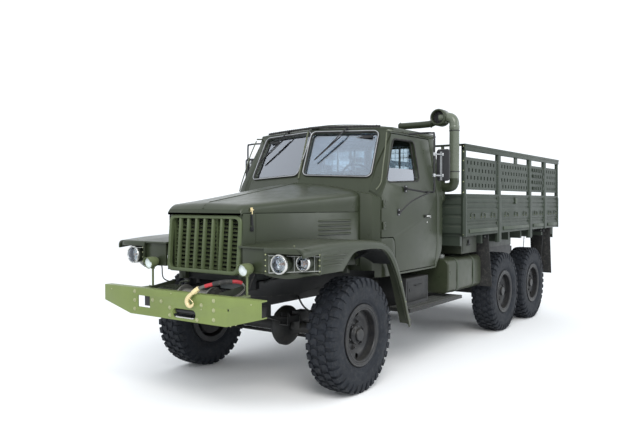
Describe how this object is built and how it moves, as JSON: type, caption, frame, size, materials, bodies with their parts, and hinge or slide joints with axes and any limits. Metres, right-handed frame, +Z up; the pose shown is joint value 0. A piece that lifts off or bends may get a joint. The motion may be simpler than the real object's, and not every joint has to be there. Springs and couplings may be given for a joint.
{
  "type": "military cargo truck",
  "caption": "Six-wheel-drive military cargo truck with bonneted cab, front winch, stake-sided cargo bed, steering, opening doors, bonnet and tailgate.",
  "frame": {"origin": "on the ground under the middle of the truck's length and width", "axes": "+X forward, +Y to the driver's left, +Z up"},
  "size_m": [7.785, 2.946, 2.995],
  "materials": {
    "olive": "satin olive green paint",
    "olive_dark": "satin dark olive green paint",
    "bed_green": "satin olive green paint with dust",
    "bumper_green": "light olive green paint",
    "grille_green": "light olive green paint",
    "chassis_black": "black chassis paint",
    "wheel_black": "black wheel paint",
    "tyre_rubber": "matt black rubber",
    "rubber_black": "matt black rubber",
    "window_glass": "clear, slightly blue",
    "lamp_glass": "clear lens over a bright reflector",
    "winch_metal": "worn dark metal",
    "engine_metal": "cast metal",
    "exhaust_metal": "heat-stained steel",
    "interior_black": "matt black",
    "seat_vinyl": "black vinyl",
    "mirror_black": "black paint"
  },
  "bodies": {
    "chassis": {"frame_rails": "chassis_black", "front_bumper": "bumper_green", "winch": "winch_metal", "front_axle": "chassis_black", "rear_axles": "chassis_black", "leaf_springs": "chassis_black", "drive_shafts": "chassis_black", "engine": "engine_metal", "gearbox": "engine_metal", "radiator": "chassis_black", "grille": "grille_green", "engine_sides": "olive", "fender_left": "olive", "fender_right": "olive", "lamps": "lamp_glass", "cab_shell": "olive", "cab_roof": "olive", "cab_glass": "window_glass", "dashboard": "interior_black", "seats": "seat_vinyl", "air_intake": "olive_dark", "exhaust": "exhaust_metal", "fuel_tank": "olive_dark", "side_steps": "chassis_black", "tool_box": "olive_dark", "bed_floor": "bed_green", "headboard": "bed_green", "bed_side_left": "bed_green", "bed_side_right": "bed_green", "mudguards": "rubber_black", "tow_hitch": "chassis_black"},
    "knuckle_left": {"knuckle_left": "chassis_black"},
    "knuckle_right": {"knuckle_right": "chassis_black"},
    "track_rod": {"track_rod": "chassis_black"},
    "door_left": {"door_left": "olive", "door_glass_left": "window_glass", "mirror_left": "mirror_black"},
    "door_right": {"door_right": "olive", "door_glass_right": "window_glass", "mirror_right": "mirror_black"},
    "bonnet": {"bonnet": "olive"},
    "tailgate": {"tailgate": "bed_green"},
    "steering_wheel": {"steering_wheel": "interior_black"},
    "front_left_wheel": {"tyre_front_left": "tyre_rubber", "wheel_front_left": "wheel_black"},
    "front_right_wheel": {"tyre_front_right": "tyre_rubber", "wheel_front_right": "wheel_black"},
    "mid_left_wheel": {"tyre_mid_left": "tyre_rubber", "wheel_mid_left": "wheel_black"},
    "mid_right_wheel": {"tyre_mid_right": "tyre_rubber", "wheel_mid_right": "wheel_black"},
    "rear_left_wheel": {"tyre_rear_left": "tyre_rubber", "wheel_rear_left": "wheel_black"},
    "rear_right_wheel": {"tyre_rear_right": "tyre_rubber", "wheel_rear_right": "wheel_black"}
  },
  "joints": [
    {"name": "steer_left", "type": "hinge", "parent": "chassis", "child": "knuckle_left", "pos_m": [2.4775, 0.79, 0.5625], "axis": [0, 0, 1], "range_deg": [-30, 30]},
    {"name": "steer_right", "type": "hinge", "parent": "chassis", "child": "knuckle_right", "pos_m": [2.4775, -0.79, 0.5625], "axis": [0, 0, 1], "range_deg": [-30, 30]},
    {"name": "track_rod_left_end", "type": "hinge", "parent": "knuckle_left", "child": "track_rod", "pos_m": [2.2175, 0.79, 0.4205], "axis": [0, 0, 1], "range_deg": [-30, 30]},
    {"name": "steering_column", "type": "hinge", "parent": "chassis", "child": "steering_wheel", "pos_m": [1.4475, 0.47, 2.11], "axis": [-0.766, 0, 0.6428], "range_deg": [-300, 300]},
    {"name": "front_left_spin", "type": "hinge", "parent": "knuckle_left", "child": "front_left_wheel", "pos_m": [2.4775, 1, 0.5625], "axis": [0, 1, 0], "continuous": true},
    {"name": "front_right_spin", "type": "hinge", "parent": "knuckle_right", "child": "front_right_wheel", "pos_m": [2.4775, -1, 0.5625], "axis": [0, 1, 0], "continuous": true},
    {"name": "mid_left_spin", "type": "hinge", "parent": "chassis", "child": "mid_left_wheel", "pos_m": [-1.4225, 1, 0.5625], "axis": [0, 1, 0], "continuous": true},
    {"name": "mid_right_spin", "type": "hinge", "parent": "chassis", "child": "mid_right_wheel", "pos_m": [-1.4225, -1, 0.5625], "axis": [0, 1, 0], "continuous": true},
    {"name": "rear_left_spin", "type": "hinge", "parent": "chassis", "child": "rear_left_wheel", "pos_m": [-2.7025, 1, 0.5625], "axis": [0, 1, 0], "continuous": true},
    {"name": "rear_right_spin", "type": "hinge", "parent": "chassis", "child": "rear_right_wheel", "pos_m": [-2.7025, -1, 0.5625], "axis": [0, 1, 0], "continuous": true},
    {"name": "door_left_hinge", "type": "hinge", "parent": "chassis", "child": "door_left", "pos_m": [1.881, 0.994, 1.7], "axis": [0, 0, -1], "range_deg": [0, 70]},
    {"name": "door_right_hinge", "type": "hinge", "parent": "chassis", "child": "door_right", "pos_m": [1.881, -0.994, 1.7], "axis": [0, 0, 1], "range_deg": [0, 70]},
    {"name": "bonnet_hinge", "type": "hinge", "parent": "chassis", "child": "bonnet", "pos_m": [2.0175, 0, 2.07], "axis": [0, -1, 0], "range_deg": [0, 50]},
    {"name": "tailgate_hinge", "type": "hinge", "parent": "chassis", "child": "tailgate", "pos_m": [-3.8085, 0, 1.41], "axis": [0, -1, 0], "range_deg": [0, 90]}
  ],
  "couplings": [
    {"joint": "steer_right", "follows": "steer_left", "ratio": 1},
    {"joint": "track_rod_left_end", "follows": "steer_left", "ratio": -1},
    {"joint": "steering_column", "follows": "steer_left", "ratio": 10}
  ]
}
